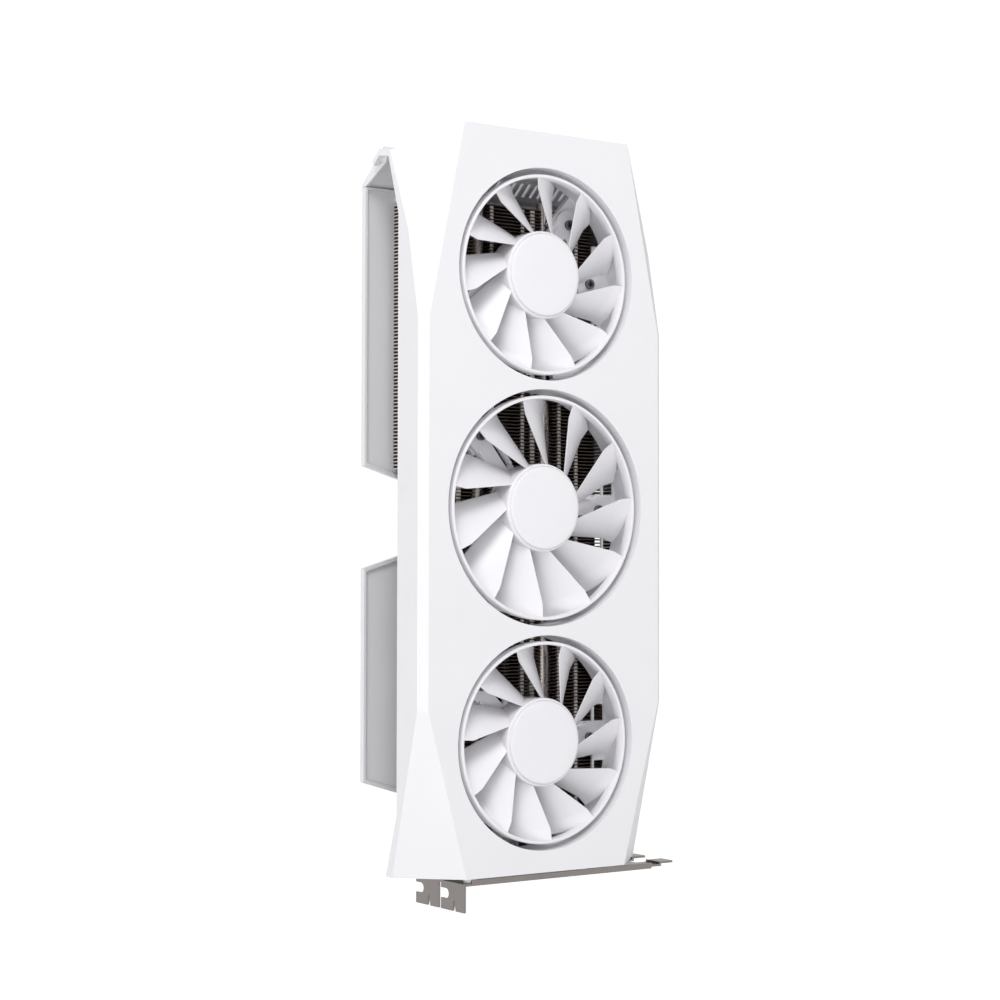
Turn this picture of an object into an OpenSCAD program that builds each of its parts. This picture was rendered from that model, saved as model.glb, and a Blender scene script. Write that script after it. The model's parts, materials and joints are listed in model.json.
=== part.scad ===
// Triple-fan graphics card, dual-slot bracket, white cooler.
// Frame: +Z along the card from the bracket to the far end, -Y the fan side, +X the slot side.
// Origin: on the bracket's outer face, on the fans' centre line, in the circuit board's mid-plane.
// All sizes are in millimetres.

/* [Cooler] */
// Length of the shroud along the card
shroud_l = 325; // [320:1:330]
// Width of the shroud across the card
shroud_w = 131; // [130:0.5:134]
// Thickness of the card from the fan side to the backplate
card_t = 55; // [55:0.5:57]
// Wall thickness of the shroud
wall = 2.2; // [1.8:0.1:2.6]
// Clearance between the bracket's outer face and the shroud
bracket_gap = 5; // [4.5:0.5:6]

/* [Fans] */
// Outer diameter of the middle fan's ring
mid_fan_d = 99; // [96:0.5:99.5]
// Outer diameter of the two end fans' rings
end_fan_d = 88.6; // [86:0.1:89]
// Gap between a fan's ring and the opening around it
ring_gap = 2.7; // [2:0.1:2.8]
// Distance between neighbouring fan centres
fan_pitch = 103; // [103:0.5:104]
// Height of the middle fan's centre above the bracket
mid_fan_z = 164.4; // [163.5:0.1:165.5]
// Blades on each fan
blades = 11; // [9:2:13]
// Diameter of the fan hub
hub_d = 39; // [38:0.5:40]

/* [Heatsink] */
// Distance from one fin to the next
fin_pitch = 1.55; // [1.4:0.05:2]
// Thickness of a fin
fin_t = 0.4; // [0.3:0.05:0.5]
// Diameter of a heat pipe
pipe_d = 6; // [5:0.5:6]

/* [Circuit board] */
// Length of the circuit board
board_l = 194; // [190:1:198]
// Height of the circuit board, contact edge included
board_h = 111.15; // [111.15:0.05:111.15]
// Thickness of the circuit board
board_t = 1.6; // [1.5:0.1:1.6]

/* [Bracket] */
// Overall height of the bracket, screw tab to tongue tip
bracket_h = 120.02; // [120.02:0.01:120.02]
// Slots that the bracket covers
bracket_slots = 2; // [2:1:2]
// Sheet thickness of the bracket
bracket_t = 1; // [0.8:0.1:1.1]

/* [Hidden] */

$fn = 64;
eps = 0.05;              // gap left between parts that only touch
slot_pitch = 20.32;      // spacing of expansion slots
slot_cover_w = 18.42;    // width that one slot's bracket covers

// Depth planes, counted from the fan side of the shroud
board_depth = card_t - 7;            // mid-plane of the circuit board
frame_d = 16.5;                      // fan side of a fan frame's motor plate
fin_d = 22.8;                        // fan side of the fins
base_d = 42;                         // fan side of the base plate and cold plate
sheet_t = 1.5;                       // backplate sheet
rim_h = 3;                           // backplate rim, sheet included
sheet_d = card_t - sheet_t;          // inner face of the backplate
board_front_d = board_depth - board_t / 2;
board_back_d = board_depth + board_t / 2;

// Y of a plane at a depth below the fan side
function at(d) = d - board_depth;

// Shroud outline
shroud_lo = bracket_gap;
shroud_hi = bracket_gap + shroud_l;
half_w = shroud_w / 2;
face_half_w = half_w - 3.5;          // half width of the flat front at mid-length
end_half_lo = 42.5;                  // half width of the flat front at the bracket end
end_half_hi = 44.3;                  // half width of the flat front at the far end
edge_depth = 3.5;                    // depth of the long edge chamfers
facet_lo = 77.1;                     // where the lower corner facets begin
facet_hi = 244.5;                    // where the upper corner facets begin
side_d = 19.6;                       // depth of the side walls at mid-length
flare_lo_d = 28.2;                   // depth of the side walls at the bracket end
flare_hi_d = 28;                     // depth of the side walls at the far end
end_drop = 10.5;                     // how far the far end slopes down towards the back
end_slope_d = 26;                    // depth at which that slope ends
cap_top = [36.8, shroud_hi - 7];     // ridge of the end cap, as depth and Z
cap_foot = [card_t, shroud_hi - 21.5]; // where the end cap meets the backplate
cap_t = 2;

// Fans: name, centre height, ring radius
fan_names = ["lower", "middle", "upper"];
fan_zs = [mid_fan_z - fan_pitch, mid_fan_z, mid_fan_z + fan_pitch];
fan_rs = [end_fan_d / 2, mid_fan_d / 2, end_fan_d / 2];
hub_r = hub_d / 2;
ring_t = 1.5;
arm_angles = [[0, 135, 230], [0, 128, 232], [0, 48, 193, 300]]; // counter-clockwise from +X
arm_inset = 12;                      // how far inside the opening an arm's screw sits
arm_w = 12;                          // width of an arm
shaft_r = 1.25;
bearing_bore_r = 1.29;
bearing_r = 3;

// Circuit board, its edge contacts and what it carries
board_x0 = -41.15;
edge_x1 = board_x0 + board_h;        // tip of the edge contacts
board_x1 = edge_x1 - 8.25;           // body edge beside the contacts
board_z0 = bracket_t + 0.4;
edge_z0 = 46;                        // edge connector: start, key and length
key_z0 = edge_z0 + 11.65;
key_w = 1.9;
edge_l = 85.2;
gpu = [8, 98];                       // X and Z of the processor
gpu_holes = 64;                      // spacing of the holes around it
standoff_xz = [[-36, 10], [-36, 134], [-36, 189], [55, 36], [55, 140], [55, 189]];
memory_xz = [[-27, 88], [-27, 108], [43, 80], [43, 98], [43, 116], [-2, 129], [18, 129], [-2, 67]];
inductor_xz = concat([for (i = [0:5]) [-12 + 11 * i, 176]], [for (i = [0:2]) [-31, 48 + 11 * i]]);
power_socket_zs = [150.9, 171.3];

// Heat pipes: two turn back over the fan side, three run straight along the base
pipe_r = pipe_d / 2;
pipe_base_d = base_d - pipe_r - eps;
pipe_front_d = 26.2;
u_pipe_xs = [-20, 16];
straight_pipe_xs = [-8, 4, 28];
turn_z = 22.6;
fins_lower = [23.75, 139];
fins_middle = [140, 199.6];
fins_upper = [200.45, 300.6];
fin_x0 = -48.5;
fin_x1 = 57;
upper_fin_back_d = 50.5;

// Backplate outline
back_half_w = 62.5;
notch_x = -41.3;                     // inner edge of the cable notch
notch_z = [144, 176.6];
notch_slant = 6.5;                   // rise of the slanted edges over the backplate's wing
wing_lo_z = 36.6;
far_screws = [[-44, shroud_hi - 26.6], [44, shroud_hi - 26.6]];
back_hi_z = cap_foot[1] - 1.2 - eps;   // far edge of the backplate
back_lo_z = 4;

// Bracket
tab_x = -34.5;                       // face of the screw tab that rests on the case
bracket_y1 = 3;
bracket_w = slot_cover_w + (bracket_slots - 1) * slot_pitch;
bracket_y0 = bracket_y1 - bracket_w;
tongue_tip_x = tab_x - bracket_t + bracket_h;
tongue_root_x = tongue_tip_x - 14.5;
tab_drop = 11.43;
notch_r = 2.21;
socket_xs = [-17, 5, 27, 49];

big = 400;

// ---------- helpers ----------

// Everything beyond the plane through p with outward direction n
module half_space(p, n) {
    translate(p)
        rotate([0, acos(n[2] / norm(n)), atan2(n[1], n[0])])
            translate([-big, -big, 0]) cube([2 * big, 2 * big, big]);
}

// A block given by X, depth and Z ranges
module block(xs, ds, zs) {
    translate([xs[0], at(ds[0]), zs[0]])
        cube([xs[1] - xs[0], ds[1] - ds[0], zs[1] - zs[0]]);
}

// A rod along Y between two depths
module rod(x, z, ds, r, fn = 48) {
    translate([x, at(ds[0]), z]) rotate([-90, 0, 0]) cylinder(r = r, h = ds[1] - ds[0], $fn = fn);
}

// A shape drawn in X and Z, extruded between two depths
module plate(ds) {
    translate([0, at(ds[1]), 0]) rotate([90, 0, 0]) linear_extrude(ds[1] - ds[0]) children();
}

// A shape drawn in depth and Z, extruded between two X positions
module side_plate(xs) {
    translate([xs[0], at(0), 0]) rotate([90, 0, 90]) linear_extrude(xs[1] - xs[0]) children();
}

// Local frame of fan i: z points into the card, and front_angle() turns counter-clockwise from +X
module at_fan(i, d = 0) {
    translate([0, at(d), fan_zs[i]]) rotate([-90, 0, 0]) children();
}

module front_angle(a) {
    rotate([0, 0, -a]) children();
}

// A slot with round ends, along Z, tilted about its centre
module tilted_slot(x, z, length, width, tilt) {
    translate([x, z]) rotate(tilt) {
        square([width, length - width], center = true);
        for (s = [-1, 1]) translate([0, s * (length - width) / 2]) circle(d = width, $fn = 24);
    }
}

// ---------- shroud ----------

// Unit vectors down the far end's slope and out of it
cap_run = (cap_foot - cap_top) / norm(cap_foot - cap_top);
cap_out = [-cap_run[1], cap_run[0]];

// Point on the far end's slope: a distance below the cap's top face, and one down from the ridge
function cap_point(below, along) = cap_top + cap_run * along - cap_out * below;

// Side view of the shroud: the solid outline, and the hollow behind its walls
function shroud_side() = [
    [0, shroud_lo], [flare_lo_d, shroud_lo], [side_d, shroud_lo + 27.3],
    [side_d, shroud_hi - 39], [flare_hi_d, shroud_hi - 13], cap_point(cap_t + eps + wall, 2),
    cap_point(cap_t + eps + wall, 8), cap_point(cap_t + eps, 8),
    cap_point(cap_t + eps, 0), [end_slope_d, shroud_hi - end_drop], [0, shroud_hi]
];

function hollow_side() = let (drop = end_drop / end_slope_d) [
    [wall, shroud_lo + wall], [card_t, shroud_lo + wall],
    [card_t, shroud_hi - end_drop - wall - 2], [end_slope_d, shroud_hi - end_drop - wall],
    [wall, shroud_hi - wall * (drop + sqrt(1 + drop * drop))]
];

// The front's bevelled edges and corner facets, moved inwards by inset
module corner_facets(inset) {
    mid_lo = [[face_half_w, at(0), facet_lo], [half_w, at(edge_depth), facet_lo]];
    mid_hi = [[face_half_w, at(0), facet_hi], [half_w, at(edge_depth), facet_hi]];
    end_lo = [end_half_lo, at(0), shroud_lo];
    end_hi = [end_half_hi, at(0), shroud_hi];
    for (plane = [[mid_lo[0], mid_lo[1], mid_hi[0]], [mid_lo[0], mid_lo[1], end_lo],
                  [mid_hi[0], mid_hi[1], end_hi],
                  [end_hi, [half_w, at(12), facet_hi + 39.5], [half_w, at(26.5), shroud_hi - 11]]]) {
        a = plane[0];
        raw = cross(plane[1] - a, plane[2] - a);
        n = raw / norm(raw) * (raw[0] > 0 ? 1 : -1);
        for (side = [0, 1]) mirror([side, 0, 0]) half_space(a - n * inset, n);
    }
}

module shroud_body(inset) {
    difference() {
        side_plate([-half_w + inset, half_w - inset])
            polygon(inset > 0 ? hollow_side() : shroud_side());
        corner_facets(inset);
    }
}

function opening_r(i) = fan_rs[i] + ring_gap;

// The round wall behind each opening
module duct_wall(i) {
    at_fan(i) difference() {
        cylinder(r = opening_r(i) + 1.8, h = side_d, $fn = 128);
        translate([0, 0, -1]) cylinder(r = opening_r(i), h = card_t, $fn = 128);
    }
}

// Ledges that the fan frames are screwed to
module frame_ledges(i) {
    at_fan(i) for (a = arm_angles[i]) front_angle(a) difference() {
        union() {
            translate([opening_r(i) - arm_inset - 6, -7, frame_d + 2.6]) cube([arm_inset + 7.2, 14, 3]);
            if (a == 0) translate([opening_r(i) - 8, -18, frame_d + 2.6]) cube([9.2, 38, 1.2]);
        }
        translate([opening_r(i) - arm_inset, 0, frame_d - 1]) cylinder(r = 1.05, h = 9, $fn = 24);
        for (y = [-14.5, 11]) translate([opening_r(i) - 7, y, frame_d]) cube([5.6, 7.5, 9]);
    }
}

module shroud() {
    color("white") difference() {
        union() {
            difference() {
                shroud_body(0);
                shroud_body(wall);
            }
            for (i = [0:2]) {
                duct_wall(i);
                frame_ledges(i);
            }
            for (p = far_screws) rod(p[0], p[1], [wall - 0.5, sheet_d - eps], 2.3);
            for (s = [-1, 1]) {
                translate([s * 30, at(16), bracket_t + eps])
                    cylinder(r = 2.8, h = bracket_gap + 1 - bracket_t, $fn = 32);
            }
        }
        for (i = [0:2]) at_fan(i, -1) cylinder(r = opening_r(i), h = wall + 1.5, $fn = 128);
        for (p = far_screws) rod(p[0], p[1], [sheet_d - 8, sheet_d + 1], 1.1, 24);
        for (s = [-1, 1]) translate([s * 30, at(16), 0]) cylinder(r = 1.15, h = 12, $fn = 24);
        // outlet towards the bracket's vents
        block([-24, 24], [wall + 2, side_d], [shroud_lo - 1, shroud_lo + wall + 1]);
    }
}

// ---------- fans ----------

// One blade: u runs from hub to ring, v from the leading to the trailing edge
blade_us = [0, 0.2, 0.4, 0.6, 0.8, 1];
blade_vs = [0, 0.25, 0.5, 0.75, 1];
blade_t = 1.1;
blade_phase = [26.1, 19.65, 10.7];            // where the first blade of each fan stands
kink_u = 0.8;                                 // where the leading edge turns to run straight out
lead_sweep = 19.3;                            // angle that the leading edge turns through by then
function kink_r(i) = hub_r + kink_u * (fan_rs[i] - ring_t - hub_r);

// The leading edge is a straight line; this is how far it passes from the axis
function edge_offset(rk) =
    hub_r * rk * sin(lead_sweep) / sqrt(hub_r * hub_r + rk * rk - 2 * hub_r * rk * cos(lead_sweep));
function lead_angle(r, rk) = let (p = edge_offset(rk)) acos(p / min(r, rk)) - acos(p / hub_r);
function lead_depth(u) = 4 - 2.4 * u;
function blade_span(u) = 24.2 - 0.4 * u;
function blade_rise(u) = 8.8 + 4 * u;
function camber(v) = 1.1 * sin(180 * v);
function blade_depth(u, v) = lead_depth(u) + blade_rise(u) * v - camber(v) * (0.5 + u / 2);
function edge_fade(v) = 0.45 + 0.55 * sin(180 * v);

function blade_point(ri, ro, rk, u, v, side) =
    let (r = ri + (ro - ri) * u, a = lead_angle(r, rk) - blade_span(u) * v)
    [r * cos(a), -r * sin(a), blade_depth(u, v) + side * blade_t / 2 * edge_fade(v)];

// Vertex numbers of the blade's front grid, then its back grid
function grid_index(i, j, side) = side * len(blade_us) * len(blade_vs) + i * len(blade_vs) + j;

module blade(ri, ro, rk) {
    nu = len(blade_us) - 1;
    nv = len(blade_vs) - 1;
    points = [for (side = [-1, 1], u = blade_us, v = blade_vs) blade_point(ri, ro, rk, u, v, side)];
    skin = [for (side = [0, 1], i = [0:nu - 1], j = [0:nv - 1], half = [0, 1])
        let (a = grid_index(i, j, side), b = grid_index(i + 1, j, side),
             c = grid_index(i + 1, j + 1, side), d = grid_index(i, j + 1, side),
             tri = half == 0 ? [a, b, c] : [a, c, d])
        side == 0 ? tri : [tri[2], tri[1], tri[0]]];
    // the rim joins the two grids: hub end, trailing edge, ring end, leading edge
    loop = concat([for (j = [0:nv - 1]) [0, j]], [for (i = [0:nu - 1]) [i, nv]],
                  [for (j = [0:nv - 1]) [nu, nv - j]], [for (i = [0:nu - 1]) [nu - i, 0]]);
    rim = [for (k = [0:len(loop) - 1], half = [0, 1])
        let (p = loop[k], q = loop[(k + 1) % len(loop)],
             a = grid_index(p[0], p[1], 0), b = grid_index(q[0], q[1], 0),
             c = grid_index(q[0], q[1], 1), d = grid_index(p[0], p[1], 1))
        half == 0 ? [a, b, c] : [a, c, d]];
    polyhedron(points, concat(skin, rim));
}

module fan_rotor(i) {
    ring_r = fan_rs[i];
    color("white") at_fan(i) {
        // hub cup with a stepped rim, and the seat for the shaft
        rotate_extrude($fn = 96) polygon([
            [shaft_r, 2.6], [0, 2.6], [0, 1.6], [hub_r - 1.6, 1.6], [hub_r - 1.2, 2], [hub_r - 1.2, 3],
            [hub_r - 0.4, 3.2], [hub_r, 4], [hub_r, 15.4], [hub_r - 1.6, 15.4], [hub_r - 1.6, 4.4],
            [3.2, 4.4], [3.2, 6.2], [shaft_r, 6.2]
        ]);
        rotate_extrude($fn = 128) polygon([
            [ring_r - ring_t, 1.2], [ring_r - 0.4, 1.2], [ring_r, 1.6], [ring_r, 6.6],
            [ring_r - ring_t * 0.7, 6.6], [ring_r - ring_t, 5.8]
        ]);
        for (b = [0:blades - 1]) front_angle(b * 360 / blades + blade_phase[i])
            blade(hub_r - 0.8, ring_r - ring_t / 2, kink_r(i));
    }
}

module fan_magnet(i) {
    color("dimgray") at_fan(i, 4.5) difference() {
        cylinder(r = hub_r - 1.65, h = 10.4);
        translate([0, 0, -1]) cylinder(r = hub_r - 4.6, h = 13);
    }
}

module fan_shaft(i) {
    color("silver") at_fan(i, 2.65) cylinder(r = shaft_r - 0.01, h = 14.6, $fn = 32);
}

module fan_bearing(i) {
    color("peru") at_fan(i, 7) difference() {
        cylinder(r = bearing_r, h = 10.4, $fn = 48);
        translate([0, 0, -1]) cylinder(r = bearing_bore_r, h = 13, $fn = 48);
    }
}

// Nine-pole laminated core with its windings
module fan_stator(i) {
    color("chocolate") at_fan(i, 7.5) difference() {
        union() {
            cylinder(r = 6.4, h = 6.5);
            for (k = [0:8]) rotate([0, 0, 40 * k]) {
                translate([5, -1.1, 1.2]) cube([7.4, 2.2, 4]);
                translate([6.6, -1.9, 0.4]) cube([4, 3.8, 5.6]);
                translate([11.6, -3.4, 1]) cube([1.6, 6.8, 4.4]);
            }
        }
        translate([0, 0, -1]) cylinder(r = 4.45, h = 9, $fn = 48);
    }
}

// Motor plate, bearing tube and three arms that end in screw pads
module fan_frame(i) {
    reach = opening_r(i) - arm_inset;
    color("whitesmoke") at_fan(i) difference() {
        union() {
            translate([0, 0, frame_d]) cylinder(r = hub_r - 1, h = 2.5, $fn = 64);
            translate([0, 0, 6.6]) cylinder(r = 4.4, h = frame_d - 6, $fn = 48);
            for (a = arm_angles[i]) front_angle(a) {
                translate([hub_r - 5, -arm_w / 2, frame_d]) cube([reach - hub_r + 5, arm_w, 2.5]);
                for (s = [-1, 1]) translate([hub_r + 1.4, s * (arm_w / 2 - 0.8) - 0.5, frame_d - 1.2])
                    cube([reach - hub_r - 6.2, 1, 1.7]);
                translate([reach, 0, frame_d]) cylinder(r = arm_w / 2 + 0.7, h = 2.5, $fn = 48);
            }
        }
        translate([0, 0, 6.9]) cylinder(r = bearing_r + 0.02, h = 10.55, $fn = 48);
        translate([0, 0, 6]) cylinder(r = bearing_r - 0.4, h = 3, $fn = 48);
        for (a = arm_angles[i]) front_angle(a) {
            translate([reach, 0, frame_d - 1]) cylinder(r = 1.3, h = 5, $fn = 24);
            translate([hub_r + 1, 2.6, frame_d - 3]) cube([reach - hub_r - 7, 2.2, 8]);
        }
    }
}

// A pan-head screw whose head faces the fans: head on the plane z = 0, shank below
module pan_screw(shank_r, shank_l, head_r, head_h) {
    difference() {
        union() {
            translate([0, 0, -head_h]) cylinder(r = head_r, h = head_h, $fn = 32);
            cylinder(r = shank_r, h = shank_l, $fn = 24);
        }
        for (a = [0, 90]) rotate([0, 0, a])
            translate([-head_r * 0.6, -0.25, -head_h - 1]) cube([head_r * 1.2, 0.5, 1 + head_h * 0.6]);
    }
}

module fan_frame_screws() {
    color("dimgray") for (i = [0:2], a = arm_angles[i]) at_fan(i, frame_d) front_angle(a)
        translate([opening_r(i) - arm_inset, 0, -eps]) pan_screw(1, 5.4, 2.2, 1.5);
}

// ---------- heatsink ----------

// A comb in depth and Z: fins standing on a thin back web
function comb(zs, front, back) = let (n = floor((zs[1] - zs[0] - fin_t) / fin_pitch)) concat(
    [[back, zs[0]]],
    [for (k = [0:n], side = [0:3]) let (z = zs[0] + k * fin_pitch)
        [side == 1 || side == 2 ? front : back - 0.5, z + (side < 2 ? 0 : fin_t)]],
    [[back, zs[0] + n * fin_pitch + fin_t]]
);

// Channel for a pipe that lies open towards the fans
module front_channel(x) {
    block([x - pipe_r - 0.2, x + pipe_r + 0.2], [fin_d - 1, pipe_front_d + pipe_r + 0.2], [0, big]);
}

module fin_stack_lower() {
    color("gray") difference() {
        side_plate([fin_x0 + 1.5, fin_x1]) polygon(comb(fins_lower, fin_d, base_d - eps));
        for (x = u_pipe_xs) front_channel(x);
        for (x = concat(u_pipe_xs, straight_pipe_xs))
            block([x - pipe_r - 0.1, x + pipe_r + 0.1], [pipe_base_d - pipe_r - 0.1, base_d + 1], [0, big]);
    }
}

// Over the circuit board, with room beside it for the power plugs
module fin_stack_middle() {
    color("gray") difference() {
        side_plate([fin_x0, fin_x1]) polygon(comb(fins_middle, fin_d, base_d - eps));
        for (x = u_pipe_xs) front_channel(x);
        for (x = concat(u_pipe_xs, straight_pipe_xs))
            block([x - pipe_r - 0.1, x + pipe_r + 0.1], [pipe_base_d - pipe_r - 0.1, base_d + 1], [0, big]);
        block([fin_x0 - 1, -30], [32, card_t], [fins_middle[0] - 1, fins_middle[1] + 1]);
    }
}

// Beyond the end of the circuit board, as deep as the backplate allows
module fin_stack_upper() {
    color("gray") difference() {
        union() {
            side_plate([fin_x0, fin_x1]) polygon(comb(fins_upper, fin_d, upper_fin_back_d));
            // a narrow run of fins beside the end of the circuit board
            side_plate([fin_x0, board_x0 - 0.8])
                polygon(comb([fins_upper[0] - 12 * fin_pitch, fins_upper[0] + 2 * fin_t],
                             base_d + 0.6, upper_fin_back_d));
        }
        for (x = u_pipe_xs) front_channel(x);
        for (x = straight_pipe_xs) translate([x, at(pipe_base_d), 0])
            cylinder(r = pipe_r + eps, h = big, $fn = 32);
    }
}

// A pipe along Z with a tapered, sealed end
module pipe_run(x, d, z0, z1, seal_up) {
    translate([x, at(d), z0]) cylinder(r = pipe_r, h = z1 - z0, $fn = 32);
    translate([x, at(d), seal_up ? z1 : z0]) mirror([0, 0, seal_up ? 0 : 1]) {
        cylinder(r1 = pipe_r, r2 = 1.2, h = 4, $fn = 32);
        cylinder(r = 1.2, h = 6, $fn = 32);
    }
}

module heat_pipes_u() {
    turn_r = (pipe_base_d - pipe_front_d) / 2;
    color("silver") for (x = u_pipe_xs) {
        pipe_run(x, pipe_front_d, turn_z, fins_upper[1] + 3, true);
        pipe_run(x, pipe_base_d, turn_z, 146, true);
        translate([x, at(pipe_front_d + turn_r), turn_z])
            rotate([0, 90, 0]) rotate([0, 0, -90]) rotate_extrude(angle = 180, $fn = 48)
                translate([turn_r, 0]) circle(r = pipe_r, $fn = 32);
    }
}

module heat_pipes_straight() {
    color("silver") for (x = straight_pipe_xs)
        pipe_run(x, pipe_base_d, 58, fins_upper[1] + 1, true);
}

// A block centred on the processor
module around_gpu(half_x, half_z, ds) {
    block([gpu[0] - half_x, gpu[0] + half_x], ds, [gpu[1] - half_z, gpu[1] + half_z]);
}

module cold_plate() {
    color("peru") around_gpu(27, 20, [base_d, board_front_d - 2.1]);
}

// Aluminium base with windows for the cold plate and for the tall parts on the board
module base_plate() {
    color("lightgray") difference() {
        block([-34, 58], [base_d, base_d + 2], [28, 167]);
        around_gpu(27.2, 20.2, [base_d - 1, base_d + 3]);
        block([-37.5, -24.5], [base_d - 1, base_d + 3], [42, 76]);
        block([47.5, 59], [base_d - 1, base_d + 3], [143.5, 168]);
        for (s = [-1, 1], t = [-1, 1])
            rod(gpu[0] + s * gpu_holes / 2, gpu[1] + t * gpu_holes / 2, [base_d - 1, base_d + 3], 1.3, 24);
    }
}

// ---------- circuit board ----------

module board_outline() {
    difference() {
        union() {
            translate([board_x0, board_z0]) square([board_x1 - board_x0, board_l]);
            translate([board_x1 - 1, edge_z0]) square([edge_x1 - board_x1 + 1, edge_l]);
            // hook that the slot's latch holds
            translate([board_x1 - 1, edge_z0 + edge_l + 5])
                square([edge_x1 - board_x1 - 0.5, 5]);
        }
        translate([edge_x1 - 7.6, key_z0]) square([10, key_w]);
        translate([board_x1 + 1.2, edge_z0 + edge_l + 4]) square([2.6, 3.6]);
        for (p = standoff_xz) translate(p) circle(r = 1.6, $fn = 32);
        for (s = [-1, 1], t = [-1, 1])
            translate([gpu[0] + s * gpu_holes / 2, gpu[1] + t * gpu_holes / 2]) circle(r = 1.7, $fn = 32);
    }
}

module circuit_board() {
    color("#1b1d20") plate([board_front_d, board_back_d]) board_outline();
}

// Gold pads on both faces, one millimetre apart, skipping the key
module edge_contacts() {
    pad = 0.7;
    color("gold") for (face = [[board_front_d - 0.05, board_front_d], [board_back_d, board_back_d + 0.05]],
                       k = [0:81]) {
        z = edge_z0 + 0.65 + k + (k > 10 ? 2.1 : 0);
        block([edge_x1 - 5.9, edge_x1 - 1.3], face, [z, z + pad]);
    }
}

module gpu_package() {
    color("darkgreen") around_gpu(20, 20, [board_front_d - 1.2, board_front_d]);
}

module gpu_die() {
    color("slategray") around_gpu(11, 10, [board_front_d - 2.1, board_front_d - 1.2]);
}

module memory_chips() {
    color("#202020") for (p = memory_xz)
        block([p[0] - 6, p[0] + 6], [board_front_d - 1.1, board_front_d], [p[1] - 7, p[1] + 7]);
}

module thermal_pads() {
    color("lightblue") for (p = memory_xz)
        if (abs(p[0] - gpu[0]) > 34 || abs(p[1] - gpu[1]) > 27)
            block([p[0] - 5.5, p[0] + 5.5], [base_d + 2, board_front_d - 1.1], [p[1] - 6.5, p[1] + 6.5]);
}

// Square switching stages in a row beside the inductors
module power_stages() {
    color("#26262a") for (p = inductor_xz) {
        row = p[0] < -25;
        block([p[0] - 2.5 + (row ? 10.5 : 0), p[0] + 2.5 + (row ? 10.5 : 0)],
              [board_front_d - 1, board_front_d],
              [p[1] - 3 + (row ? 0 : -10), p[1] + 3 + (row ? 0 : -10)]);
    }
}

module inductors() {
    color("#3a3a3c") for (p = inductor_xz) difference() {
        block([p[0] - 4.2, p[0] + 4.2], [board_front_d - 4.6, board_front_d], [p[1] - 4.2, p[1] + 4.2]);
        for (s = [-1, 1]) translate([p[0] + s * 4.2, at(board_front_d - 6), p[1] + s * 4.2])
            rotate([0, 45, 0]) translate([-1, 0, -1]) cube([2, 8, 2]);
    }
}

capacitor_xz = concat([for (i = [0:4]) [-6 + 11 * i, 187]], [for (i = [0:3]) [52, 148 + 9 * i]]);

module capacitors() {
    color("silver") for (p = capacitor_xz) {
        rod(p[0], p[1], [board_front_d - 4.4, board_front_d - 1], 3);
        block([p[0] - 3.2, p[0] + 3.2], [board_front_d - 1, board_front_d], [p[1] - 3.2, p[1] + 3.2]);
    }
}

// Eight-way power sockets facing away from the slot, on the board's outer edge
socket_mouth_x = board_x0 - 6.5;
socket_l = 13;

// A block given by its distance behind the mouth, its height over the board, centre and half length
module socket_block(xs, heights, z, half_z) {
    block([socket_mouth_x + xs[0], socket_mouth_x + xs[1]],
          [board_front_d - heights[0], board_front_d - heights[1]], [z - half_z, z + half_z]);
}

module power_sockets() {
    color("#17171a") for (z = power_socket_zs) difference() {
        union() {
            socket_block([0, socket_l], [11.2, 0], z, 9.6);
            socket_block([4, socket_l - 4.5], [12.8, 11], z, 2);
        }
        socket_block([-1, socket_l - 2], [9.9, 1.3], z, 8.3);
    }
}

module power_pins() {
    color("khaki") for (z = power_socket_zs, row = [0, 1], k = [0:3])
        block([socket_mouth_x + 5.2, board_x0 + 4.45],
              [board_front_d - 3.9 - 4.2 * row, board_front_d - 2.9 - 4.2 * row],
              [z - 6.3 + 4.2 * k - 0.5, z - 6.3 + 4.2 * k + 0.5]);
}

fan_header_xz = [-37.6, 84];
module fan_header() {
    color("ivory") difference() {
        block([fan_header_xz[0] - 2.5, fan_header_xz[0] + 2.5], [board_front_d - 5, board_front_d],
              [fan_header_xz[1] - 5, fan_header_xz[1] + 5]);
        block([fan_header_xz[0] - 1.7, fan_header_xz[0] + 1.7], [board_front_d - 6, board_front_d - 2],
              [fan_header_xz[1] - 4.2, fan_header_xz[1] + 4.2]);
    }
}

// ---------- bracket and sockets ----------

// The bracket's face, drawn in X and Y
module bracket_face() {
    difference() {
        union() {
            translate([tab_x - bracket_t, bracket_y0])
                square([tongue_root_x - tab_x + bracket_t, bracket_w]);
            for (k = [0:bracket_slots - 1])
                translate([tongue_root_x - 1, tongue_y(k) - 5.1]) square([8, 10.2]);
        }
        // sockets
        translate([socket_xs[0] - 8.2, at(board_front_d - 5.9)]) square([16.4, 5.9]);
        for (k = [1:3]) translate([socket_xs[k] - 8.9, at(board_front_d - 5.9)]) square([17.8, 5.9]);
        // vents in the second slot's face
        for (k = [0:8]) tilted_slot(-24 + 10 * k, -23.5, 18, 4, 25);
        // corner cuts beside the tongues
        for (y = [bracket_y0, bracket_y1])
            translate([tongue_root_x, y]) rotate(45) square(4.4, center = true);
    }
}

function tongue_y(k) = bracket_y1 - slot_cover_w / 2 - k * slot_pitch;

// One slot's screw tab, drawn in Y and Z
module tab_outline(k) {
    y1 = bracket_y1 - k * slot_pitch;
    difference() {
        translate([y1 - slot_cover_w, -tab_drop]) square([slot_cover_w, tab_drop + 0.5]);
        translate([y1 - 4, -4.4]) circle(r = notch_r, $fn = 48);
        translate([y1 - 4, -4.4 - notch_r]) square([6, 2 * notch_r]);
        translate([y1 - 10.5, -tab_drop - 0.1]) polygon([[-1.2, 0], [1.2, 0], [0.3, 4.6], [-0.3, 4.6]]);
    }
}

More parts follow.
